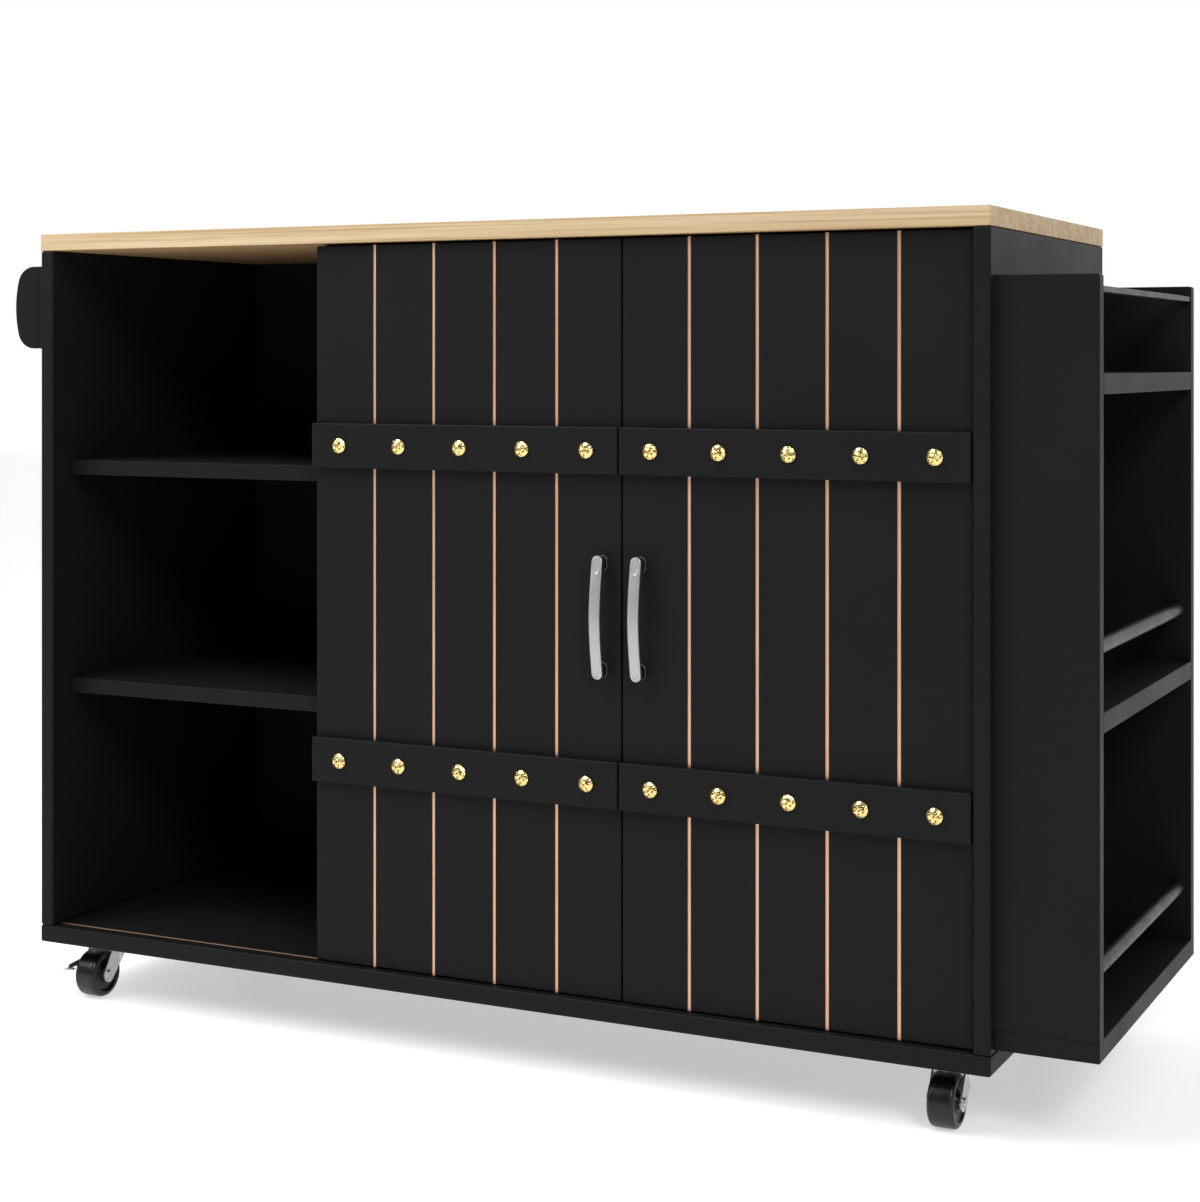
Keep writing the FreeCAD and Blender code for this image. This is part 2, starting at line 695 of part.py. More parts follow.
def handle(x, screws):
    """A bow pull: an arched flat bar with round ends on two legs."""
    front_arc, front_low, front_top = arc_through_bow(0)
    back_arc, back_low, back_top = arc_through_bow(HANDLE_THICK)
    side = [
        front_arc,
        Part.LineSegment(front_top, back_top).toShape(),
        back_arc,
        Part.LineSegment(back_low, front_low).toShape(),
    ]
    half_width = HANDLE_WIDTH / 2
    bow = slab_outline(side, Vector(1, 0, 0), x - half_width, HANDLE_WIDTH)
    middle = BASE_BOTTOM + HANDLE_RISE
    straight = HANDLE_LENGTH / 2 - half_width
    depth = (DOOR_FACE - HANDLE_MIDDLE_PROUD - 1, DOOR_FACE)
    plan = box((x - half_width, x + half_width), depth, (middle - straight, middle + straight))
    for z in (middle - straight, middle + straight):
        end = rod(Vector(x, depth[0], z), Vector(0, 1, 0), depth[1] - depth[0], HANDLE_WIDTH)
        plan = plan.fuse(end)
    bar = bow.common(plan)
    legs = [handle_leg(x, z) for z in handle_leg_heights()]
    return seat(bar.multiFuse(legs).removeSplitter(), screws)


# ---- Concealed hinges ---------------------------------------------------------------------------
def hinge_heights():
    """The Z of a door's two hinges."""
    return (DOOR_BOTTOM + HINGE_FROM_END, DOOR_TOP - HINGE_FROM_END)


def link_x(face, away, spacer):
    """The X of a hinge's link, which runs just inside the arm's web."""
    return face + away * (PLATE_THICK + spacer + ARM_WALL + LINK_CLEARANCE + LINK_THICK / 2)


def hinge_cup(x, middle_of_link, z):
    """The hinge's cup and flange let into the door, with the link that leaves the cup."""
    cup = rod(Vector(x, DOOR_BACK, z), Vector(0, -1, 0), CUP_DEPTH, CUP_DIAMETER)
    hollow = rod(
        Vector(x, DOOR_BACK, z),
        Vector(0, -1, 0),
        CUP_DEPTH - CUP_WALL,
        CUP_DIAMETER - 2 * CUP_WALL,
    )
    flange = box(
        (x - FLANGE_WIDTH / 2, x + FLANGE_WIDTH / 2),
        (DOOR_BACK - FLANGE_THICK, DOOR_BACK),
        (z - FLANGE_LENGTH / 2, z + FLANGE_LENGTH / 2),
    )
    link = box(
        (middle_of_link - LINK_THICK / 2, middle_of_link + LINK_THICK / 2),
        (DOOR_BACK - CUP_DEPTH + CUP_WALL / 2, DOOR_BACK + LINK_REACH),
        (z - LINK_WIDTH / 2, z + LINK_WIDTH / 2),
    )
    return cup.fuse(flange).cut(hollow).fuse(link).removeSplitter()


def hinge_pocket(x, z):
    """The space that a hinge's cup and flange take out of the door."""
    cup = rod(Vector(x, DOOR_BACK, z), Vector(0, -1, 0), CUP_DEPTH, CUP_DIAMETER)
    flange = box(
        (x - FLANGE_WIDTH / 2, x + FLANGE_WIDTH / 2),
        (DOOR_BACK - FLANGE_THICK, DOOR_BACK + 1),
        (z - FLANGE_LENGTH / 2, z + FLANGE_LENGTH / 2),
    )
    return cup.fuse(flange)


def hinge_arm(face, away, spacer, z):
    """The fixed half of a hinge: mounting plate, and a channel open towards the cabinet."""
    def across(near, far):
        ends = (face + away * near, face + away * far)
        return (min(ends), max(ends))

    plate = box(
        across(0, PLATE_THICK + spacer),
        (PLATE_FRONT, PLATE_FRONT + PLATE_LENGTH),
        (z - PLATE_HEIGHT / 2, z + PLATE_HEIGHT / 2),
    )
    web_near = PLATE_THICK + spacer
    length = (ARM_FRONT, ARM_FRONT + ARM_LENGTH)
    web = box(across(web_near, web_near + ARM_WALL), length, (z - ARM_WIDTH / 2, z + ARM_WIDTH / 2))
    cheek_x = across(web_near, web_near + ARM_HEIGHT)
    low_cheek = box(cheek_x, length, (z - ARM_WIDTH / 2, z - ARM_WIDTH / 2 + ARM_WALL))
    high_cheek = box(cheek_x, length, (z + ARM_WIDTH / 2 - ARM_WALL, z + ARM_WIDTH / 2))
    screw_seat = Vector(face + away * (web_near + ARM_WALL), PLATE_FRONT + PLATE_LENGTH / 2, z)
    head = rod(screw_seat, Vector(away, 0, 0), SCREW_HEAD_HEIGHT, SCREW_HEAD_DIAMETER)
    return plate.multiFuse([web, low_cheek, high_cheek, head]).removeSplitter()


def hinge_plate_screws(face, away, spacer):
    """Two screws per mounting plate, above and below the arm."""
    screws = []
    for z in hinge_heights():
        for step in (-PLATE_HEIGHT / 3, PLATE_HEIGHT / 3):
            head = Vector(
                face + away * (PLATE_THICK + spacer), PLATE_FRONT + PLATE_LENGTH / 2, z + step
            )
            length = PLATE_THICK + spacer + PANEL_THICK * SCREW_BITE_SHARE
            screws.append(countersunk_screw(head, Vector(-away, 0, 0), length))
    return screws


def door_set(side, door_x, cup_x, middle_of_link, handle_x):
    """Every piece that swings with one door."""
    inlays = door_inlays(door_x)
    screws = handle_screws(handle_x)
    pockets = [hinge_pocket(cup_x, z) for z in hinge_heights()]
    upper = batten_studs(door_x, UPPER_BATTEN_RISE)
    lower = batten_studs(door_x, LOWER_BATTEN_RISE)
    cups = [hinge_cup(cup_x, middle_of_link, z) for z in hinge_heights()]
    return {
        f"door_{side}_panel": door_panel(door_x, screws + pockets),
        f"door_{side}_inlays": group(inlays),
        f"door_{side}_upper_batten": batten(door_x, UPPER_BATTEN_RISE, upper),
        f"door_{side}_lower_batten": batten(door_x, LOWER_BATTEN_RISE, lower),
        f"door_{side}_studs": group(upper + lower),
        f"door_{side}_handle": handle(handle_x, screws),
        f"door_{side}_handle_screws": group(screws),
        f"door_{side}_hinge_cups": group(cups),
    }


# ---- Casters ------------------------------------------------------------------------------------
def tangent_point(centre, radius, target, side):
    """Where a line from a target point touches a circle in the YZ plane."""
    reach = target - centre
    heading = math.atan2(reach.z, reach.y)
    swing = side * math.acos(radius / reach.Length)
    return centre + Vector(0, math.cos(heading + swing), math.sin(heading + swing)) * radius


def teardrop(centre, radius, front_top, rear_top):
    """An outline round a circle below and through two points above, in the YZ plane."""
    front = tangent_point(centre, radius, front_top, 1)
    rear = tangent_point(centre, radius, rear_top, -1)
    away = (front_top + rear_top) / 2 - centre
    bottom = centre - away.normalize() * radius
    return [
        Part.Arc(front, bottom, rear).toShape(),
        Part.makePolygon([rear, rear_top, front_top, front]),
    ]


def caster_plate(screws):
    """The mounting plate with its ball race, bored for the king pin."""
    top = CASTER_HEIGHT
    underside = top - CASTER_PLATE_THICK
    plate = board(
        (-CASTER_PLATE_X / 2, CASTER_PLATE_X / 2),
        (-CASTER_PLATE_Y / 2, CASTER_PLATE_Y / 2),
        (underside, top),
        BOARD_ROUND / 2,
    )
    race = rod(Vector(0, 0, underside - RACE_HEIGHT), Vector(0, 0, 1), RACE_HEIGHT, 2 * RACE_RADIUS)
    bore = rod(
        Vector(0, 0, underside - RACE_HEIGHT),
        Vector(0, 0, 1),
        RACE_HEIGHT + CASTER_PLATE_THICK,
        KINGPIN_DIAMETER + 2 * RUNNING_GAP,
    )
    return seat(plate.fuse(race).cut(bore), screws)


def caster_plate_screws():
    """Four screws that hold one mounting plate to the base board."""
    underside = CASTER_HEIGHT - CASTER_PLATE_THICK
    screws = []
    for x in (-CASTER_SCREW_X, CASTER_SCREW_X):
        for y in (-CASTER_SCREW_Y, CASTER_SCREW_Y):
            seat_point = Vector(x, y, underside)
            screws.append(pan_head_screw(seat_point, Vector(0, 0, 1), BASE_THICK * SCREW_BITE_SHARE))
    return screws


def leg_faces():
    """The inner and outer X of a fork leg."""
    inner = WHEEL_WIDTH / 2 + HUB_PROUD + LEG_GAP
    return inner, inner + LEG_THICK


def caster_fork():
    """The swivelling fork: two teardrop legs, one ribbed, the crown and the riveted king pin."""
    inner, outer = leg_faces()
    crown_top = CASTER_HEIGHT - CASTER_PLATE_THICK - RACE_HEIGHT - RACE_GAP
    axle = Vector(0, -CASTER_TRAIL, WHEEL_RADIUS)
    front_top = Vector(0, -LEG_TOP_HALF, crown_top)
    rear_top = Vector(0, LEG_TOP_HALF, crown_top)
    legs = []
    for start in (-outer, inner):
        outline = teardrop(axle, LEG_END_RADIUS, front_top, rear_top)
        legs.append(slab_outline(outline, Vector(1, 0, 0), start, LEG_THICK))
    crown = box(
        (-outer, outer), (-LEG_TOP_HALF, LEG_TOP_HALF), (crown_top - CROWN_THICK, crown_top)
    )
    pin_foot = crown_top - CROWN_THICK - KINGPIN_HEAD_HEIGHT
    pin_length = CASTER_HEIGHT - CASTER_PLATE_THICK / 2 - pin_foot
    pin = rod(Vector(0, 0, pin_foot), Vector(0, 0, 1), pin_length, KINGPIN_DIAMETER)
    pin_head = rod(
        Vector(0, 0, pin_foot), Vector(0, 0, 1), KINGPIN_HEAD_HEIGHT, KINGPIN_HEAD_DIAMETER
    )
    rib_foot = Vector(outer, -RIB_FORWARD, RIB_FOOT)
    rib = rod(rib_foot, Vector(0, 0, 1), crown_top - RIB_FOOT, RIB_DIAMETER)
    fork = crown.multiFuse(legs + [rib, pin, pin_head]).removeSplitter()
    hole = rod(axle - Vector(outer, 0, 0), Vector(1, 0, 0), 2 * outer, AXLE_DIAMETER)
    rivet_bore = rod(
        pedal_pivot() - Vector(outer, 0, 0),
        Vector(1, 0, 0),
        LEG_THICK,
        PEDAL_RIVET_DIAMETER + 2 * RUNNING_GAP,
    )
    return fork.cut(hole).cut(rivet_bore)


def caster_axle():
    """The wheel's axle bolt with a round head on one side and a nut on the other."""
    outer = leg_faces()[1]
    centre = Vector(-outer, -CASTER_TRAIL, WHEEL_RADIUS)
    shaft = rod(centre, Vector(1, 0, 0), 2 * outer, AXLE_DIAMETER)
    ends = [
        rod(centre, Vector(-1, 0, 0), AXLE_HEAD_HEIGHT, AXLE_HEAD_DIAMETER),
        rod(centre + Vector(2 * outer, 0, 0), Vector(1, 0, 0), AXLE_HEAD_HEIGHT, AXLE_HEAD_DIAMETER),
    ]
    return shaft.multiFuse(ends).removeSplitter()


def caster_wheel():
    """The wheel: a flat tread with round shoulders, dished sides and a bored hub."""
    half = WHEEL_WIDTH / 2
    bore = AXLE_DIAMETER / 2 + RUNNING_GAP
    shoulder_mid = WHEEL_SHOULDER * (1 - math.cos(math.radians(45)))
    hub_face = half + HUB_PROUD
    dish = half - WHEEL_DISH_DEPTH

    def shoulder(sign):
        tread = Vector(WHEEL_RADIUS, 0, sign * (half - WHEEL_SHOULDER))
        middle = Vector(WHEEL_RADIUS - shoulder_mid, 0, sign * (half - shoulder_mid))
        side = Vector(WHEEL_RADIUS - WHEEL_SHOULDER, 0, sign * half)
        return Part.Arc(tread, middle, side).toShape(), tread, side

    top_arc, top_tread, top_side = shoulder(1)
    low_arc, low_tread, low_side = shoulder(-1)
    side_steps = (
        (WHEEL_DISH_RADIUS, half),
        (WHEEL_DISH_RADIUS - 1, dish),
        (HUB_RADIUS, dish),
        (HUB_RADIUS, hub_face),
        (bore, hub_face),
    )
    upper = [Vector(radius, 0, height) for radius, height in side_steps]
    lower = [Vector(radius, 0, -height) for radius, height in reversed(side_steps)]
    sides = Part.makePolygon([top_side] + upper + lower + [low_side])
    tread = Part.LineSegment(low_tread, top_tread).toShape()
    outline = Part.Wire([tread, top_arc] + sides.Edges + [low_arc])
    solid = Part.Face(outline).revolve(Vector(0, 0, 0), Vector(0, 0, 1), 360)
    turn = FreeCAD.Rotation(Vector(0, 0, 1), Vector(1, 0, 0))
    solid.Placement = FreeCAD.Placement(Vector(0, -CASTER_TRAIL, WHEEL_RADIUS), turn)
    return solid


def pedal_pivot():
    """The brake pedal's pivot in the caster's own frame."""
    return Vector(0, -PEDAL_PIVOT_BACK, PEDAL_PIVOT_HEIGHT)


def caster_pedal():
    """The brake pedal: a lever riveted to the outside of the left leg, with a foot tab in front."""
    leg_inner, leg_outer = leg_faces()
    near = -leg_outer - PEDAL_GAP
    far = near - PEDAL_THICK
    pivot = pedal_pivot()
    tab_low = Vector(0, -PEDAL_TAB_BACK, PEDAL_TAB_HEIGHT)
    tab_high = tab_low + Vector(0, 0, PEDAL_RADIUS)
    outline = teardrop(pivot, PEDAL_RADIUS, tab_low, tab_high)
    lever = slab_outline(outline, Vector(1, 0, 0), far, PEDAL_THICK)
    tab_outline = Part.makePolygon(
        [
            Vector(far, -PEDAL_TAB_BACK, PEDAL_TAB_HEIGHT),
            Vector(far + PEDAL_TAB_WIDTH, -PEDAL_TAB_BACK, PEDAL_TAB_HEIGHT),
            Vector(far + PEDAL_TAB_WIDTH, -PEDAL_TAB_SHOULDER, PEDAL_TAB_HEIGHT),
            Vector(far + PEDAL_TAB_POINT, -PEDAL_TAB_TIP, PEDAL_TAB_HEIGHT),
            Vector(far, -PEDAL_TAB_TIP, PEDAL_TAB_HEIGHT),
            Vector(far, -PEDAL_TAB_BACK, PEDAL_TAB_HEIGHT),
        ]
    )
    tab = Part.Face(tab_outline).extrude(Vector(0, 0, PEDAL_THICK))
    root = box(
        (far, near),
        (-PEDAL_TAB_BACK - PEDAL_THICK, -PEDAL_TAB_BACK),
        (PEDAL_TAB_HEIGHT, PEDAL_TAB_HEIGHT + PEDAL_RADIUS),
    )
    rivet = rod(
        pivot + Vector(far, 0, 0), Vector(1, 0, 0), -leg_inner - far, PEDAL_RIVET_DIAMETER
    )
    head = rod(
        pivot + Vector(far, 0, 0), Vector(-1, 0, 0), PEDAL_RIVET_HEAD, PEDAL_RIVET_HEAD_DIAMETER
    )
    return lever.multiFuse([tab, root, rivet, head]).removeSplitter()


def caster_sets():
    """Every caster: plates and forks, axles, wheels, and pedals on two opposite corners."""
    corners = {
        "fl": Vector(CASTER_INSET_X, CASTER_INSET_Y, 0),
        "fr": Vector(BODY_WIDTH - CASTER_INSET_X, CASTER_INSET_Y, 0),
        "rl": Vector(CASTER_INSET_X, BODY_DEPTH - CASTER_INSET_Y, 0),
        "rr": Vector(BODY_WIDTH - CASTER_INSET_X, BODY_DEPTH - CASTER_INSET_Y, 0),
    }
    screws = []
    plates = []
    pieces = {}
    for corner, place in corners.items():
        own_screws = caster_plate_screws()
        plates.append(caster_plate(own_screws).translated(place))
        screws += [screw.translated(place) for screw in own_screws]
        pieces[f"caster_{corner}_fork"] = caster_fork().translated(place)
        pieces[f"caster_{corner}_axle"] = caster_axle().translated(place)
        pieces[f"caster_{corner}_wheel"] = caster_wheel().translated(place)
    for corner in ("fl", "rr"):
        pieces[f"caster_{corner}_pedal"] = caster_pedal().translated(corners[corner])
    pieces["caster_plates"] = group(plates)
    pieces["caster_screws"] = group(screws)
    return pieces, screws


# ---- The whole cart -----------------------------------------------------------------------------
def seat_all(solids, inserts):
    """Cut the same inserts out of every solid in a list."""
    return [seat(solid, inserts) for solid in solids]


def build():
    """Every sub-part by name, in the body frame."""
    pins = shelf_pins()
    dowels = panel_dowels() + towel_dowels()
    long_screws = base_screws()
    side_screws = side_fixing_screws()
    brackets, bracket_screws = countertop_brackets()
    left_plate_screws = hinge_plate_screws(DIVIDER_RIGHT, 1, LEFT_HINGE_SPACER)
    right_plate_screws = hinge_plate_screws(RIGHT_INNER, -1, RIGHT_HINGE_SPACER)
    left_arms = [hinge_arm(DIVIDER_RIGHT, 1, LEFT_HINGE_SPACER, z) for z in hinge_heights()]
    right_arms = [hinge_arm(RIGHT_INNER, -1, RIGHT_HINGE_SPACER, z) for z in hinge_heights()]
    casters, caster_screws = caster_sets()
    front_towel, rear_towel = towel_bracket_centres()
    rail = towel_rod()
    inserts = pins + spare_pin_holes() + dowels + long_screws + side_screws + bracket_screws
    inserts += left_plate_screws + right_plate_screws + caster_screws

    parts = body_boards(inserts)
    parts["base_inlay_strip"] = base_inlay()
    parts["open_shelf_lower"] = shelf(PANEL_THICK, DIVIDER_LEFT, LOWER_SHELF_RISE, pins)
    parts["open_shelf_upper"] = shelf(PANEL_THICK, DIVIDER_LEFT, UPPER_SHELF_RISE, pins)
    parts["cabinet_shelf"] = shelf(
        DIVIDER_RIGHT + SHELF_END_PLAY, RIGHT_INNER - SHELF_END_PLAY, CABINET_SHELF_RISE, []
    )
    parts["shelf_pins"] = group(pins)
    parts["panel_dowels"] = group(dowels)
    parts["assembly_screws"] = group(long_screws + side_screws)
    parts["countertop_brackets"] = group(brackets + bracket_screws)
    parts["hinge_arms_left"] = group(seat_all(left_arms, left_plate_screws) + left_plate_screws)
    parts["hinge_arms_right"] = group(seat_all(right_arms, right_plate_screws) + right_plate_screws)
    parts["towel_bracket_front"] = towel_bracket(front_towel, dowels + [rail])
    parts["towel_bracket_rear"] = towel_bracket(rear_towel, dowels + [rail])
    parts["towel_rod"] = rail
    parts.update(side_rack(side_screws))
    parts.update(
        door_set(
            "left",
            LEFT_DOOR_X,
            LEFT_DOOR_X[0] + CUP_FROM_EDGE,
            link_x(DIVIDER_RIGHT, 1, LEFT_HINGE_SPACER),
            DOOR_GAP_CENTRE - HANDLE_FROM_GAP,
        )
    )
    parts.update(
        door_set(
            "right",
            RIGHT_DOOR_X,
            RIGHT_DOOR_X[1] - CUP_FROM_EDGE,
            link_x(RIGHT_INNER, -1, RIGHT_HINGE_SPACER),
            DOOR_GAP_CENTRE + HANDLE_FROM_GAP,
        )
    )
    parts.update(casters)
    return parts


def main():
    os.makedirs("parts", exist_ok=True)
    parts = build()
    for name, shape in parts.items():
        shape.translated(ORIGIN * -1).exportStep(f"parts/{name}.step")
    print(len(parts), "sub-parts")


main()
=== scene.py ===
import json
import math
import random

import bpy
from mathutils import Matrix, Vector


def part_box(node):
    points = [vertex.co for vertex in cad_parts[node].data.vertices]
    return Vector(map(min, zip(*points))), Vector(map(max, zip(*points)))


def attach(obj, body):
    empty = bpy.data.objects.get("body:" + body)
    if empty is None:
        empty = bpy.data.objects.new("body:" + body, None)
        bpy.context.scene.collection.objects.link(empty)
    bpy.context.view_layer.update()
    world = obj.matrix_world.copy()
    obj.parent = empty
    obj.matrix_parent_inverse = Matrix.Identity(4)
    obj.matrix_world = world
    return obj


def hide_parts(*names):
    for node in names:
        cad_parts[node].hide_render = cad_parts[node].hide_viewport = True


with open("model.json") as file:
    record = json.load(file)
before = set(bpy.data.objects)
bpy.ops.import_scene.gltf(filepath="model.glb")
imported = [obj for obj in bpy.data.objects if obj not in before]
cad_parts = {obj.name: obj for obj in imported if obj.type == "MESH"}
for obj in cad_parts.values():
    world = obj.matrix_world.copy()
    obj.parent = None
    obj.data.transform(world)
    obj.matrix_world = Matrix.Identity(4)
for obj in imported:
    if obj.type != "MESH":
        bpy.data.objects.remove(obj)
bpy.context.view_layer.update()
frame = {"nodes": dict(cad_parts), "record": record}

# The kitchen island cart's looks. The studs, the bow handles and the caster wheels are finer meshes
# that stand for their CAD nodes; every other node keeps its shape and gets a procedural material.

MM = 0.001
CORNERS = ("fl", "fr", "rl", "rr")
SIDES = ("left", "right")
SHARP_DEG = 40

# A white room, dimmer towards the front: its brightness goes from "To Min" to "To Max" as the
# heading's Y goes from "From Min" to "From Max".
ROOM_LEVELS = {"From Min": -0.75, "From Max": 0.75, "To Min": 0.11, "To Max": 1.0}
WHITE = (1, 1, 1, 1)

# Area lights: name, place, target, size and watts.
LIGHTS = (
    ("key", (-1.9, -2.0, 2.2), (0, 0, 0.5), (1.4, 1.4), 29),
    ("fill", (3.5, -3.7, 3.9), (0, 0, 0.5), (1.8, 1.8), 140),
    ("top", (-1.1, -1.3, 3.2), (-0.2, 0, 0.5), (2.0, 1.6), 68),
)

FLOOR_HALF = 12.0
FLOOR_GLOW = 0.5

# The camera stands in front of the cart and to its right, level, a little below the worktop.
CAMERA_PLACE = (1.179, -2.347, 0.7647)
CAMERA_TURN_DEG = 26.1
CAMERA_LENS_MM = 67.07
CAMERA_SENSOR_MM = 36.0
CAMERA_SHIFT_Y = -0.1996
CAMERA_REACH = 100.0

# Decimals, in metres, at which the vertices of one solid meet and the studs of one row agree.
WELD_DECIMALS = 5
ROW_DECIMALS = 3

# Stud heads: hammered domes. Facets and pits are rings of marks: (share of the radius out, count,
# reach as a share of the radius). The marks fade out towards the rim.
STUD_SEED = 7
STUD_RINGS = 26
STUD_SPOKES = 72
STUD_FACETS = ((0.0, 1, 0.30), (0.46, 6, 0.27), (0.80, 11, 0.24))
STUD_FACET_DEPTH = 0.55 * MM
STUD_PITS = ((0.04, 1, 0.13), (0.50, 5, 0.12), (0.84, 3, 0.10))
STUD_PIT_DEPTH = 0.7 * MM
# Faces past this share of the radius take the dark metal: a painted shade ring at the rim.
STUD_RIM_SHARE = 0.955
STUD_DOME_POWER = 0.62
STUD_RIM_FADE = 6
STUD_DARK_PIT = 0.25

# Bow handles: a flat bar with a squarish section, arched, with a sunk oval pad near each end, on
# two legs. The squareness is the section's superellipse power.
BOW_STATIONS = 220
BOW_RING = 72
BOW_THICK = 4.5 * MM
BOW_SQUARENESS = 3.6
BOW_END_DROP = 8.0 * MM
BOW_BEND = 0.6
BOW_TIP_WIDTH = 0.02
BOW_TIP_THICK = 0.35
BOW_TIP_SLOPE = 2.2
PAD_HALF_LENGTH = 8.6 * MM
PAD_HALF_WIDTH = 4.4 * MM
PAD_FROM_END = 10.6 * MM
PAD_SINK = 0.5 * MM
PAD_WALL_SLOPE = 5.0
LEG_WIDTH = 11.6 * MM
LEG_HEIGHT = 17.0 * MM
LEG_SPACING = 113.0 * MM
LEG_STEPS = 24
LEG_FOOT_ROUND = 0.6 * MM

# Caster wheels. The face runs from the tread's shoulder in to the hub, as (share of the wheel's
# radius, depth behind the wheel's side in millimetres).
WHEEL_SEGMENTS = 96
WHEEL_SHOULDER = 4.5 * MM
WHEEL_SHOULDER_STEPS = 8
WHEEL_SIDE_BACK = 0.6 * MM
WHEEL_FACE = (
    (0.79, 0.0),
    (0.765, 0.25),
    (0.75, 0.9),
    (0.70, 2.6),
    (0.66, 3.0),
    (0.46, 3.0),
    (0.42, 2.7),
    (0.40, 1.6),
    (0.36, 1.4),
    (0.31, 1.4),
    (0.295, 1.0),
)
WHEEL_HUB_FOOT = 0.29
WHEEL_HUB_EDGE = 0.27
WHEEL_HUB_ROUND = 0.3 * MM
WHEEL_BORE = 3.05 * MM
WHEEL_BORE_CHAMFER = 0.4 * MM


# ---- Node helpers -------------------------------------------------------------------------------
class Shader:
    """A material under construction: a Principled surface and short calls that add nodes."""

    def __init__(self, name, **constants):
        self.material = bpy.data.materials.new(name)
        self.material.use_nodes = True
        self.tree = self.material.node_tree
        self.surface = self.tree.nodes["Principled BSDF"]
        self.position = self.node("ShaderNodeTexCoord").outputs["Object"]
        for socket, value in constants.items():
            self.surface.inputs[socket.replace("_", " ")].default_value = value

    def node(self, kind, values=None, **settings):
        """A node with its settings, and its sockets set to values or linked to outputs."""
        made = self.tree.nodes.new(kind)
        for name, value in settings.items():
            setattr(made, name, value)
        for socket, value in (values or {}).items():
            self.feed(made.inputs[socket], value)
        return made

    def feed(self, socket, value):
        """Link an output to a socket, or set the socket's own value."""
        if isinstance(value, bpy.types.NodeSocket):
            self.tree.links.new(value, socket)
        else:
            socket.default_value = value

    def stretched(self, scale):
        """The position in the cart's frame, scaled along each axis."""
        values = {"Vector": self.position, "Scale": scale}
        return self.node("ShaderNodeMapping", values).outputs["Vector"]

    def noise(self, scale, detail=3.0, roughness=0.55, at=None, distortion=0.0):
        """Soft noise from 0 to 1, at the position or at a stretched one."""
        values = {
            "Vector": at or self.position,
            "Scale": scale,
            "Detail": detail,
            "Roughness": roughness,
            "Distortion": distortion,
        }
        return self.node("ShaderNodeTexNoise", values).outputs["Fac"]

    def cells(self, scale):
        """The distance from the middle of the nearest cell."""
        values = {"Vector": self.position, "Scale": scale}
        return self.node("ShaderNodeTexVoronoi", values).outputs["Distance"]

    def curve(self, value, low, high, to_low=0.0, to_high=1.0):
        """A smooth step of a value, from to_low at one level to to_high at another."""
        values = {
            "Value": value,
            "From Min": low,
            "From Max": high,
            "To Min": to_low,
            "To Max": to_high,
        }
        kind = "ShaderNodeMapRange"
        return self.node(kind, values, interpolation_type="SMOOTHSTEP").outputs["Result"]

    def math(self, operation, first, second):
        """A calculation with two values."""
        made = self.node("ShaderNodeMath", operation=operation)
        self.feed(made.inputs[0], first)
        self.feed(made.inputs[1], second)
        return made.outputs["Value"]

    def blend(self, share, first, second):
        """Two colours mixed by a share."""
        made = self.node("ShaderNodeMix", data_type="RGBA")
        self.feed(made.inputs["Factor"], share)
        colour_inputs = [socket for socket in made.inputs if socket.type == "RGBA"]
        for socket, value in zip(colour_inputs, (first, second)):
            self.feed(socket, value)
        return next(socket for socket in made.outputs if socket.type == "RGBA")

    def bump(self, height, distance, strength, under=None):
        """A surface direction from a height, on top of the one under it."""
        values = {"Height": height, "Distance": distance, "Strength": strength}
        if under is not None:
            values["Normal"] = under
        return self.node("ShaderNodeBump", values).outputs["Normal"]

    def finish(self, **links):
        """Link the last outputs to the surface and return the material."""
        for socket, output in links.items():
            self.feed(self.surface.inputs[socket.replace("_", " ")], output)
        return self.material


# ---- Materials ----------------------------------------------------------------------------------
def black_laminate():
    """Satin black laminate: a faint pressed texture, soft smudges and a very slight mottle."""
    s = Shader("black_laminate", Specular_IOR_Level=0.085)
    mottle = s.noise(5.0, detail=4.0)
    speckle = s.curve(s.noise(420.0, detail=2.0), 0.62, 0.78, 0.0, 0.35)
    dark = (0.0080, 0.0080, 0.0082, 1)
    light = (0.0100, 0.0100, 0.0102, 1)
    fleck = (0.0145, 0.0145, 0.0147, 1)
    colour = s.blend(speckle, s.blend(mottle, dark, light), fleck)
    smudge = s.noise(9.0, detail=5.0, roughness=0.6, distortion=0.6)
    roughness = s.curve(smudge, 0.3, 0.7, 0.44, 0.50)
    pressed = s.bump(s.noise(900.0, detail=2.0), 0.00006, 0.35)
    wave = s.bump(s.noise(26.0, detail=1.0), 0.0003, 0.05, under=pressed)
    return s.finish(Base_Color=colour, Roughness=roughness, Normal=wave)


def black_paint():
    """Satin black paint on rods and rails: fine orange peel."""
    s = Shader("black_paint", Specular_IOR_Level=0.3)
    mottle = s.noise(12.0, detail=3.0)
    colour = s.blend(mottle, (0.007, 0.007, 0.0075, 1), (0.011, 0.011, 0.0115, 1))
    roughness = s.curve(s.noise(30.0, detail=4.0), 0.3, 0.7, 0.34, 0.46)
    peel = s.bump(s.noise(620.0, detail=1.5), 0.00008, 0.3)
    return s.finish(Base_Color=colour, Roughness=roughness, Normal=peel)


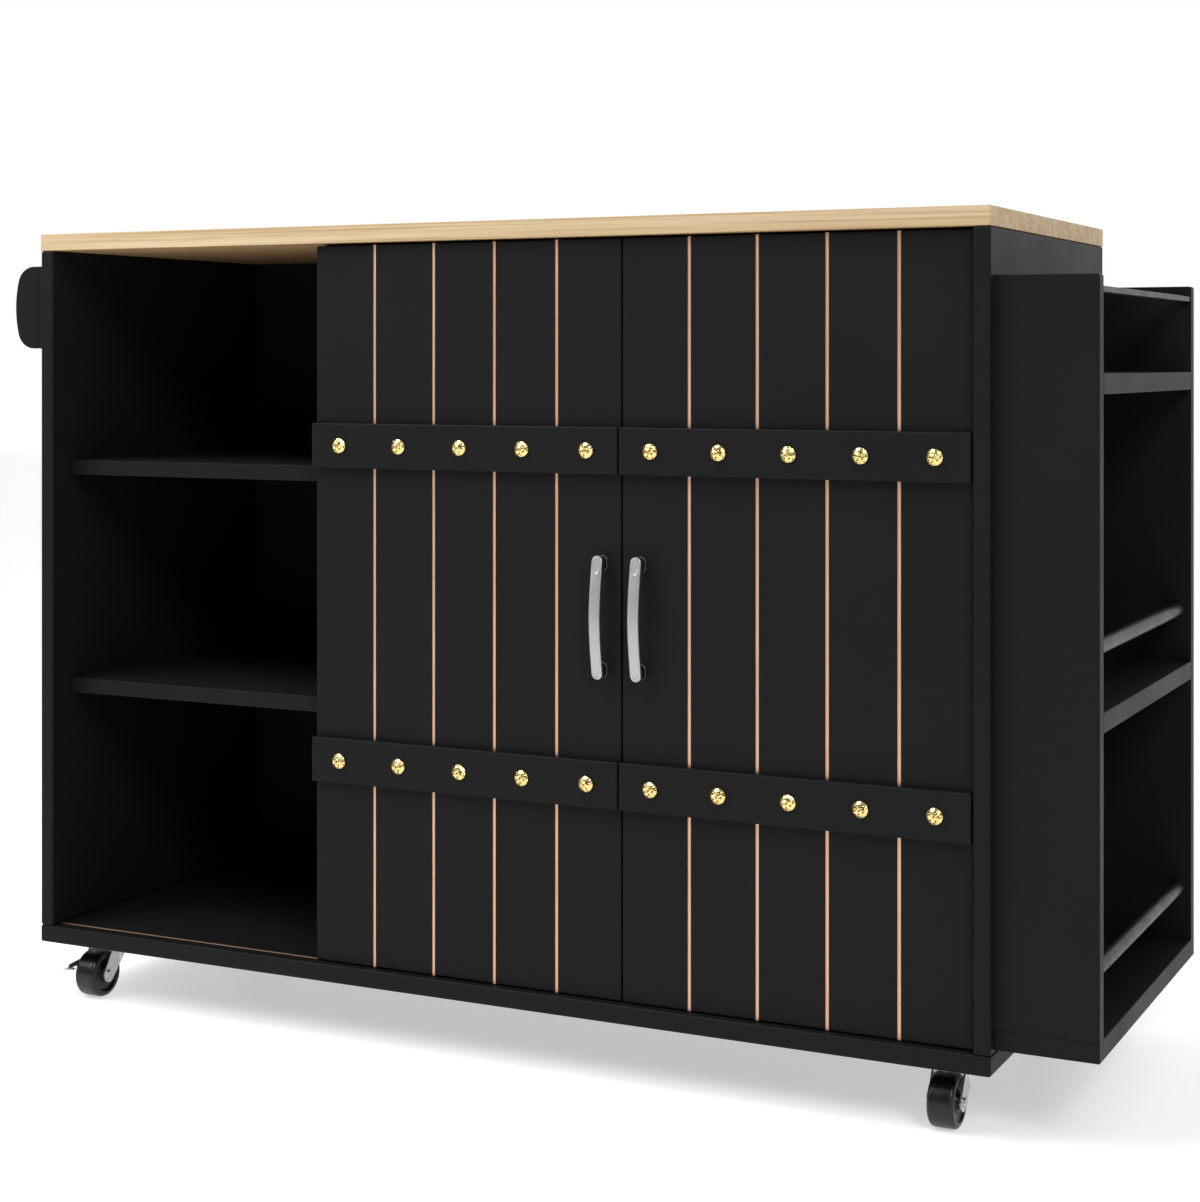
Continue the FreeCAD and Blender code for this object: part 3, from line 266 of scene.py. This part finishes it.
def light_wood():
    """Pale straight-grained wood: bands, dark lines, fibres and pores run along the cart.

    Faces that look down, such as the worktop's underside, get a browner tone: painted shade."""
    s = Shader("light_wood", Specular_IOR_Level=0.05)
    warp = s.noise(1.0, detail=2.0, at=s.stretched((0.9, 7.0, 7.0)))
    along = s.stretched((1.0, 42.0, 42.0))
    bands = s.noise(1.0, detail=4.0, roughness=0.6, at=along, distortion=0.7)
    thin = s.stretched((2.2, 260.0, 260.0))
    lines = s.noise(1.0, detail=2.0, roughness=0.5, at=thin, distortion=0.3)
    fibres = s.noise(1.0, detail=3.0, roughness=0.7, at=s.stretched((5.0, 420.0, 420.0)))
    pores = s.noise(1.0, detail=2.0, roughness=0.5, at=s.stretched((16.0, 1300.0, 1300.0)))
    facing = s.node("ShaderNodeNewGeometry").outputs["Normal"]
    upward = s.node("ShaderNodeSeparateXYZ", {"Vector": facing}).outputs["Z"]
    colour = s.blend(s.curve(bands, 0.36, 0.66), (0.57, 0.45, 0.285, 1), (0.45, 0.325, 0.185, 1))
    layers = (
        (s.curve(warp, 0.35, 0.7, 0.0, 0.5), (0.57, 0.46, 0.30, 1)),
        (s.curve(lines, 0.50, 0.66, 0.0, 0.6), (0.36, 0.235, 0.12, 1)),
        (s.curve(fibres, 0.45, 0.75, 0.0, 0.45), (0.35, 0.24, 0.13, 1)),
        (s.curve(pores, 0.62, 0.78, 0.0, 0.55), (0.25, 0.16, 0.08, 1)),
        # Faces looking down get a darker brown: painted shade under the worktop, not a tone of the
        # wood.
        (s.curve(upward, -0.9, -0.5, 0.75, 0.0), (0.38, 0.22, 0.09, 1)),
    )
    for share, tone in layers:
        colour = s.blend(share, colour, tone)
    roughness = s.curve(fibres, 0.2, 0.8, 0.36, 0.52)
    relief = s.bump(s.math("MULTIPLY", fibres, -0.4), 0.00012, 0.35)
    normal = s.bump(pores, 0.0001, 0.25, under=relief)
    return s.finish(Base_Color=colour, Roughness=roughness, Normal=normal)


def copper_line():
    """Brushed copper foil, lightly varied along its length."""
    s = Shader("copper_line", Metallic=0.75)
    streak = s.noise(1.0, detail=3.0, at=s.stretched((900.0, 900.0, 9.0)))
    patch = s.noise(16.0, detail=3.0)
    colour = s.blend(streak, (0.68, 0.385, 0.245, 1), (0.82, 0.53, 0.375, 1))
    colour = s.blend(s.curve(patch, 0.4, 0.7, 0.0, 0.3), colour, (0.62, 0.33, 0.20, 1))
    roughness = s.curve(streak, 0.25, 0.75, 0.34, 0.5)
    return s.finish(
        Base_Color=colour, Roughness=roughness, Normal=s.bump(streak, 0.00003, 0.3)
    )


def brass(name, bright, dull):
    """Brass with a fine hammer texture, from a bright colour to a dull one in patches."""
    s = Shader(name, Metallic=1.0)
    tarnish = s.noise(260.0, detail=3.0)
    colour = s.blend(s.curve(tarnish, 0.5, 0.75), bright, dull)
    roughness = s.curve(s.noise(700.0, detail=2.0), 0.3, 0.7, 0.12, 0.26)
    peen = s.bump(s.cells(620.0), 0.00015, 0.4)
    return s.finish(Base_Color=colour, Roughness=roughness, Normal=peen)


def nickel(name, dark, light, worn):
    """Nickel brushed along the handle, from a dark tone to a light one, with worn clouds."""
    s = Shader(name, Metallic=1.0)
    brush = s.noise(1.0, detail=4.0, roughness=0.65, at=s.stretched((2600.0, 2600.0, 40.0)))
    cloud = s.noise(60.0, detail=2.0)
    colour = s.blend(brush, dark, light)
    colour = s.blend(s.curve(cloud, 0.45, 0.75, 0.0, 0.25), colour, worn)
    roughness = s.curve(brush, 0.2, 0.8, 0.40, 0.54)
    return s.finish(
        Base_Color=colour, Roughness=roughness, Normal=s.bump(brush, 0.00002, 0.35)
    )


def zinc():
    """Bright zinc plate with a faint spangle and rub marks."""
    s = Shader("zinc_plate", Metallic=1.0)
    spangle = s.cells(240.0)
    rub = s.noise(1.0, detail=4.0, at=s.stretched((240.0, 240.0, 40.0)))
    colour = s.blend(s.curve(spangle, 0.1, 0.7), (0.70, 0.71, 0.73, 1), (0.58, 0.59, 0.61, 1))
    roughness = s.curve(rub, 0.25, 0.75, 0.22, 0.42)
    return s.finish(Base_Color=colour, Roughness=roughness, Normal=s.bump(rub, 0.00003, 0.3))


def fastener_steel():
    """Plated screw steel, slightly grained."""
    s = Shader("fastener_steel", Metallic=1.0)
    grain = s.noise(900.0, detail=3.0)
    colour = s.blend(grain, (0.46, 0.46, 0.48, 1), (0.64, 0.64, 0.66, 1))
    roughness = s.curve(grain, 0.2, 0.8, 0.28, 0.46)
    return s.finish(Base_Color=colour, Roughness=roughness, Normal=s.bump(grain, 0.00003, 0.3))


def wheel_black():
    """Smooth black wheel: glossy, with faint rolling scuffs and dust."""
    s = Shader("wheel_black", Specular_IOR_Level=0.4)
    scuff = s.noise(1.0, detail=4.0, roughness=0.65, at=s.stretched((500.0, 60.0, 60.0)))
    dust = s.noise(110.0, detail=5.0)
    colour = s.blend(scuff, (0.003, 0.003, 0.0033, 1), (0.007, 0.007, 0.0073, 1))
    colour = s.blend(s.curve(dust, 0.58, 0.8, 0.0, 0.35), colour, (0.018, 0.0175, 0.017, 1))
    roughness = s.curve(scuff, 0.3, 0.75, 0.24, 0.44)
    return s.finish(Base_Color=colour, Roughness=roughness, Normal=s.bump(scuff, 0.00006, 0.3))


def beech():
    """Raw beech dowels with short flecks."""
    s = Shader("raw_beech")
    fleck = s.noise(1.0, detail=3.0, at=s.stretched((900.0, 900.0, 130.0)))
    colour = s.blend(s.curve(fleck, 0.4, 0.7), (0.70, 0.50, 0.32, 1), (0.52, 0.34, 0.20, 1))
    return s.finish(
        Base_Color=colour,
        Roughness=s.curve(fleck, 0.2, 0.8, 0.6, 0.75),
        Normal=s.bump(fleck, 0.00005, 0.3),
    )


def make_materials():
    """A material for each of the record's slots, and the darker second metals of studs and handles:
    dark stud pits, and painted shade on the stud rims and the handle legs.
    """
    return {
        "black_laminate": black_laminate(),
        "black_rail": black_paint(),
        "light_wood": light_wood(),
        "copper_line": copper_line(),
        "brass_stud": brass("stud_brass", (0.90, 0.69, 0.28, 1), (0.66, 0.46, 0.15, 1)),
        # Dark metal for the studs' pits and rims; on the rims it is painted shade.
        "brass_dark_pits_rim_shade": brass("stud_dark_pits_rim_shade", (0.07, 0.045, 0.015, 1), (0.02, 0.013, 0.006, 1)),
        "satin_nickel": nickel(
            "satin_nickel", (0.40, 0.40, 0.405, 1), (0.50, 0.50, 0.505, 1), (0.36, 0.36, 0.365, 1)
        ),
        # A darker copy of the nickel for the handle legs: painted shade and painted reflection of
        # the black door.
        "nickel_painted_shade": nickel(
            "nickel_painted_shade", (0.07, 0.07, 0.072, 1), (0.11, 0.11, 0.112, 1), (0.06, 0.06, 0.062, 1)
        ),
        "zinc_plate": zinc(),
        "fastener_steel": fastener_steel(),
        "wheel_rubber": wheel_black(),
        "dowel_wood": beech(),
    }


def paint_nodes(materials):
    """Give every CAD node the material of its slot."""
    slots = {entry["node"]: entry["material_slot"] for entry in frame["record"]["subparts"]}
    for name, node in frame["nodes"].items():
        for material_slot in node.material_slots:
            material_slot.material = materials[slots[name]]


# ---- Mesh helpers -------------------------------------------------------------------------------
def make_piece(name, points, faces, material, body, node):
    """A mesh piece, smooth but for its sharp edges, that rides on a body and stands for a node."""
    mesh = bpy.data.meshes.new(name)
    mesh.from_pydata(points, [], faces)
    mesh.validate()
    mesh.materials.append(material)
    mesh.polygons.foreach_set("use_smooth", [True] * len(mesh.polygons))
    mesh.set_sharp_from_angle(angle=math.radians(SHARP_DEG))
    piece = bpy.data.objects.new(name, mesh)
    bpy.context.scene.collection.objects.link(piece)
    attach(piece, body)
    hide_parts(node)
    return piece


def ring_faces(rings, around):
    """Quads between successive rings of points."""
    faces = []
    for ring in range(rings - 1):
        for step in range(around):
            a = ring * around + step
            b = ring * around + (step + 1) % around
            faces.append((a, b, b + around, a + around))
    return faces


def lathe(profile, segments, place):
    """Points and faces of a closed profile of (radius, height) turned about its axis.

    The place matrix takes the axis from local Z to where it belongs."""
    points = []
    for radius, height in profile:
        for step in range(segments):
            angle = 2 * math.pi * step / segments
            points.append(
                place @ Vector((radius * math.cos(angle), radius * math.sin(angle), height))
            )
    faces = ring_faces(len(profile), segments)
    last = (len(profile) - 1) * segments
    for step in range(segments):
        after = (step + 1) % segments
        faces.append((last + step, last + after, after, step))
    return points, faces


# ---- Studs --------------------------------------------------------------------------------------
def hammer_marks(radius, rows, turn):
    """Centre and reach of every mark in rings of marks round a stud's head."""
    marks = []
    for share, count, reach in rows:
        for index in range(count):
            angle = 2 * math.pi * (index + share) / count + turn
            marks.append(
                (radius * share * math.cos(angle), radius * share * math.sin(angle), radius * reach)
            )
    return marks


def deepest_mark(x, y, marks):
    """How deep into the deepest of some marks a point of the plan lies, from 0 to 1."""
    depth = 0.0
    for mark_x, mark_y, reach in marks:
        depth = max(depth, 1 - (math.hypot(x - mark_x, y - mark_y) / reach) ** 2)
    return depth


def stud_head(centre, radius, rise, turn):
    """A closed hammered dome facing -Y, its flat back on the batten, its pits dark and its rim in
    painted shade.
    """
    facets = hammer_marks(radius, STUD_FACETS, turn)
    pits = hammer_marks(radius, STUD_PITS, turn)

    def point(reach, angle):
        x, z = reach * math.cos(angle), reach * math.sin(angle)
        away = reach / radius
        dent = STUD_FACET_DEPTH * deepest_mark(x, z, facets)
        dent += STUD_PIT_DEPTH * deepest_mark(x, z, pits)
        dent *= min(1.0, (1 - away) * STUD_RIM_FADE)
        height = rise * (1 - away**2) ** STUD_DOME_POWER - dent
        return centre + Vector((x, -max(height, 0.0), z))

    points = []
    for ring in range(STUD_RINGS, 0, -1):
        for spoke in range(STUD_SPOKES):
            points.append(point(radius * ring / STUD_RINGS, 2 * math.pi * spoke / STUD_SPOKES))
    faces = [tuple(reversed(face)) for face in ring_faces(STUD_RINGS, STUD_SPOKES)]
    crown = len(points)
    points.append(point(0.0, 0.0))
    last = (STUD_RINGS - 1) * STUD_SPOKES
    for spoke in range(STUD_SPOKES):
        faces.append((last + (spoke + 1) % STUD_SPOKES, last + spoke, crown))
    # Dark faces: those deep in a pit, and a rim ring that paints the shade round the dome's edge.
    dark = []
    for face in faces:
        middle = sum((points[index] for index in face), Vector()) / len(face) - centre
        in_pit = deepest_mark(middle.x, middle.z, pits) > STUD_DARK_PIT
        dark.append(in_pit or math.hypot(middle.x, middle.z) > radius * STUD_RIM_SHARE)
    faces.append(tuple(range(STUD_SPOKES)))
    return points, faces, dark + [False]


def island_centres(node):
    """The box centre and box size of every separate solid in a CAD node."""
    mesh = frame["nodes"][node].data
    parent = list(range(len(mesh.vertices)))

    def root(index):
        while parent[index] != index:
            parent[index] = parent[parent[index]]
            index = parent[index]
        return index

    welded = {}
    for vertex in mesh.vertices:
        key = tuple(round(value, WELD_DECIMALS) for value in vertex.co)
        parent[root(vertex.index)] = root(welded.setdefault(key, vertex.index))
    for edge in mesh.edges:
        parent[root(edge.vertices[0])] = root(edge.vertices[1])
    islands = {}
    for vertex in mesh.vertices:
        islands.setdefault(root(vertex.index), []).append(vertex.co)
    found = []
    for points in islands.values():
        low = Vector([min(point[axis] for point in points) for axis in range(3)])
        high = Vector([max(point[axis] for point in points) for axis in range(3)])
        found.append(((low + high) / 2, high - low))
    return sorted(found, key=lambda item: (round(item[0].z, ROW_DECIMALS), item[0].x))


def add_studs(materials):
    """The hammered heads of each door's studs, each turned its own way."""
    chance = random.Random(STUD_SEED)
    for side in SIDES:
        node = f"door_{side}_studs"
        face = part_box(f"door_{side}_upper_batten")[0].y
        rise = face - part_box(node)[0].y
        points, faces, dark = [], [], []
        for centre, size in island_centres(node):
            place = Vector((centre.x, face, centre.z))
            head = stud_head(place, size.x / 2, rise, chance.uniform(0, 2 * math.pi))
            faces += [tuple(index + len(points) for index in each) for each in head[1]]
            points += head[0]
            dark += head[2]
        piece = make_piece(
            f"hammered_studs_{side}",
            points,
            faces,
            materials["brass_stud"],
            f"door_{side}",
            node,
        )
        # The dark metal goes on the pits and paints shade round each rim.
        piece.data.materials.append(materials["brass_dark_pits_rim_shade"])
        piece.data.polygons.foreach_set("material_index", [int(flag) for flag in dark])


# ---- Handles ------------------------------------------------------------------------------------
def signed_power(value, power):
    """A power of a value's size, with the value's own sign."""
    return math.copysign(abs(value) ** power, value)


def bow_offset(share):
    """How far the bow falls back from its crest at a share of its half length.

    The fall is gentle round the middle and nearly straight towards the ends."""
    full = math.hypot(BOW_BEND, 1) - BOW_BEND
    return BOW_END_DROP * (math.hypot(BOW_BEND, share) - BOW_BEND) / full


def pad_depth(along, across, half_length):
    """The sink of the oval pad near each end of the bow."""
    away = (half_length - abs(along) - PAD_FROM_END) / PAD_HALF_LENGTH
    reach = math.hypot(away, across / PAD_HALF_WIDTH)
    return PAD_SINK * max(0.0, min(1.0, (1.0 - reach) * PAD_WALL_SLOPE))


def bow_bar(low, high):
    """The arched flat bar with round ends, between the low and high corners of its box."""
    middle = (low + high) / 2
    half_length = (high.z - low.z) / 2
    half_width = (high.x - low.x) / 2
    points = []
    for station in range(BOW_STATIONS):
        share = -math.cos(math.pi * (station + 0.5) / BOW_STATIONS)
        along = share * half_length
        beyond = max(0.0, abs(along) - (half_length - half_width))
        taper = math.sqrt(max(0.0, 1 - (beyond / half_width) ** 2))
        width = half_width * max(taper, BOW_TIP_WIDTH)
        fullness = min(1.0, taper * BOW_TIP_SLOPE)
        thick = BOW_THICK * (BOW_TIP_THICK + (1 - BOW_TIP_THICK) * fullness)
        spine = low.y + bow_offset(share) + BOW_THICK / 2
        for step in range(BOW_RING):
            angle = 2 * math.pi * step / BOW_RING
            across = width * signed_power(math.cos(angle), 2 / BOW_SQUARENESS)
            deep = thick / 2 * signed_power(math.sin(angle), 2 / BOW_SQUARENESS)
            if deep < 0:
                deep += pad_depth(along, across, half_length)
            points.append((middle.x + across, spine + deep, middle.z + along))
    faces = [tuple(reversed(face)) for face in ring_faces(BOW_STATIONS, BOW_RING)]
    faces.append(tuple(range(BOW_RING)))
    last = (BOW_STATIONS - 1) * BOW_RING
    faces.append(tuple(last + step for step in reversed(range(BOW_RING))))
    return points, faces


def stadium(half_width, half_height):
    """Points of an upright outline with round ends, anticlockwise seen from the front."""
    straight = half_height - half_width
    outline = []
    for step in range(2 * LEG_STEPS):
        angle = math.pi * (step + 0.5) / LEG_STEPS
        lift = straight if step < LEG_STEPS else -straight
        outline.append((half_width * math.cos(angle), lift + half_width * math.sin(angle)))
    return outline


def handle_leg(x, z, door_face, front):
    """A leg with round ends that reaches from the door to the back of the bow."""
    rows = (
        (LEG_FOOT_ROUND, front),
        (LEG_FOOT_ROUND, door_face - 2 * LEG_FOOT_ROUND),
        (0.0, door_face - LEG_FOOT_ROUND),
        (0.0, door_face),
    )
    points = []
    for inset, y in rows:
        for dx, dz in stadium(LEG_WIDTH / 2 - inset, LEG_HEIGHT / 2 - inset):
            points.append((x + dx, y, z + dz))
    around = 2 * LEG_STEPS
    faces = ring_faces(len(rows), around)
    faces.append(tuple(reversed(range(around))))
    faces.append(tuple((len(rows) - 1) * around + step for step in range(around)))
    return points, faces


def add_handles(materials):
    """The two bow handles, each a bar on two legs in a darker copy of the nickel: painted shade and
    painted reflection of the dark door.
    """
    for side in SIDES:
        low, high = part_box(f"door_{side}_handle")
        middle = (low + high) / 2
        points, faces = bow_bar(low, high)
        bar_faces = len(faces)
        bar_back = low.y + bow_offset(LEG_SPACING / (high.z - low.z)) + BOW_THICK / 2
        for sign in (-1, 1):
            leg, leg_faces = handle_leg(
                middle.x, middle.z + sign * LEG_SPACING / 2, high.y, bar_back
            )
            faces += [tuple(index + len(points) for index in each) for each in leg_faces]
            points += leg
        piece = make_piece(
            f"bow_handle_{side}",
            points,
            faces,
            materials["satin_nickel"],
            f"door_{side}",
            f"door_{side}_handle",
        )
        # The legs take the darker nickel, which paints their shade and the door's dark reflection.
        piece.data.materials.append(materials["nickel_painted_shade"])
        on_leg = [int(index >= bar_faces) for index in range(len(faces))]
        piece.data.polygons.foreach_set("material_index", on_leg)


# ---- Caster wheels ------------------------------------------------------------------------------
def wheel_profile(radius, half_width):
    """Half of a wheel's section, as (radius, height), from the tread's middle line to the bore."""
    side = half_width - WHEEL_SIDE_BACK
    tread_half = side - WHEEL_SHOULDER
    outline = [(radius, 0.0), (radius, tread_half / 2), (radius, tread_half)]
    for step in range(1, WHEEL_SHOULDER_STEPS + 1):
        angle = math.pi / 2 * step / WHEEL_SHOULDER_STEPS
        inward = WHEEL_SHOULDER * (1 - math.cos(angle))
        outline.append((radius - inward, tread_half + WHEEL_SHOULDER * math.sin(angle)))
    for share, depth in WHEEL_FACE:
        outline.append((radius * share, side - depth * MM))
    outline += [
        (radius * WHEEL_HUB_FOOT, half_width - WHEEL_HUB_ROUND),
        (radius * WHEEL_HUB_EDGE, half_width),
        (WHEEL_BORE + WHEEL_BORE_CHAMFER, half_width),
        (WHEEL_BORE, half_width - WHEEL_BORE_CHAMFER),
    ]
    return outline


def add_wheels(materials):
    """The four caster wheels, turned about their axles."""
    for corner in CORNERS:
        node = f"caster_{corner}_wheel"
        low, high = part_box(node)
        half = wheel_profile((high.z - low.z) / 2, (high.x - low.x) / 2)
        outline = half + [(radius, -height) for radius, height in reversed(half[1:])]
        place = Matrix.Translation((low + high) / 2) @ Matrix.Rotation(math.pi / 2, 4, "Y")
        points, faces = lathe(outline, WHEEL_SEGMENTS, place)
        make_piece(
            f"wheel_{corner}",
            points,
            faces,
            materials["wheel_rubber"],
            f"caster_{corner}_roller",
            node,
        )


# ---- Camera, floor and light --------------------------------------------------------------------
def add_camera():
    """A level camera, shifted down so that the upright edges stay parallel."""
    data = bpy.data.cameras.new("camera")
    data.lens = CAMERA_LENS_MM
    data.sensor_width = CAMERA_SENSOR_MM
    data.shift_y = CAMERA_SHIFT_Y
    data.clip_end = CAMERA_REACH
    camera = bpy.data.objects.new("camera", data)
    camera.location = CAMERA_PLACE
    camera.rotation_euler = (math.pi / 2, 0, math.radians(CAMERA_TURN_DEG))
    bpy.context.scene.collection.objects.link(camera)
    bpy.context.scene.camera = camera


def add_floor():
    """A plain pale floor, with a faint glow that keeps the cart's shadow light."""
    mesh = bpy.data.meshes.new("floor")
    signs = ((-1, -1), (1, -1), (1, 1), (-1, 1))
    corners = [(across * FLOOR_HALF, away * FLOOR_HALF, 0) for across, away in signs]
    mesh.from_pydata(corners, [], [(0, 1, 2, 3)])
    s = Shader("pale_floor", Specular_IOR_Level=0.1)
    floor_tone = s.blend(s.noise(0.8, detail=2.0), (0.66, 0.66, 0.66, 1), (0.70, 0.70, 0.70, 1))
    s.surface.inputs["Emission Color"].default_value = WHITE
    s.surface.inputs["Emission Strength"].default_value = FLOOR_GLOW
    mesh.materials.append(s.finish(Base_Color=floor_tone))
    floor = bpy.data.objects.new("floor", mesh)
    bpy.context.scene.collection.objects.link(floor)


def add_area_light(name, place, target, size, watts):
    """A rectangular light at a place, turned towards its target."""
    data = bpy.data.lights.new(name, "AREA")
    data.shape = "RECTANGLE"
    data.size, data.size_y = size
    data.energy = watts
    light = bpy.data.objects.new(name, data)
    light.location = place
    aim = Vector(target) - Vector(place)
    light.rotation_euler = aim.to_track_quat("-Z", "Y").to_euler()
    bpy.context.scene.collection.objects.link(light)


def add_world():
    """A white room, dimmer towards the front of the cart."""
    world = bpy.data.worlds.new("white_room")
    world.use_nodes = True
    tree = world.node_tree
    heading = tree.nodes.new("ShaderNodeTexCoord")
    split = tree.nodes.new("ShaderNodeSeparateXYZ")
    level = tree.nodes.new("ShaderNodeMapRange")
    level.interpolation_type = "SMOOTHSTEP"
    for socket, value in ROOM_LEVELS.items():
        level.inputs[socket].default_value = value
    tree.links.new(heading.outputs["Generated"], split.inputs["Vector"])
    tree.links.new(split.outputs["Y"], level.inputs["Value"])
    tree.links.new(level.outputs["Result"], tree.nodes["Background"].inputs["Strength"])
    tree.nodes["Background"].inputs["Color"].default_value = WHITE
    bpy.context.scene.world = world


bpy.context.scene.view_settings.view_transform = "Standard"
materials = make_materials()
paint_nodes(materials)
add_studs(materials)
add_handles(materials)
add_wheels(materials)
add_camera()
add_floor()
add_world()
for light in LIGHTS:
    add_area_light(*light)
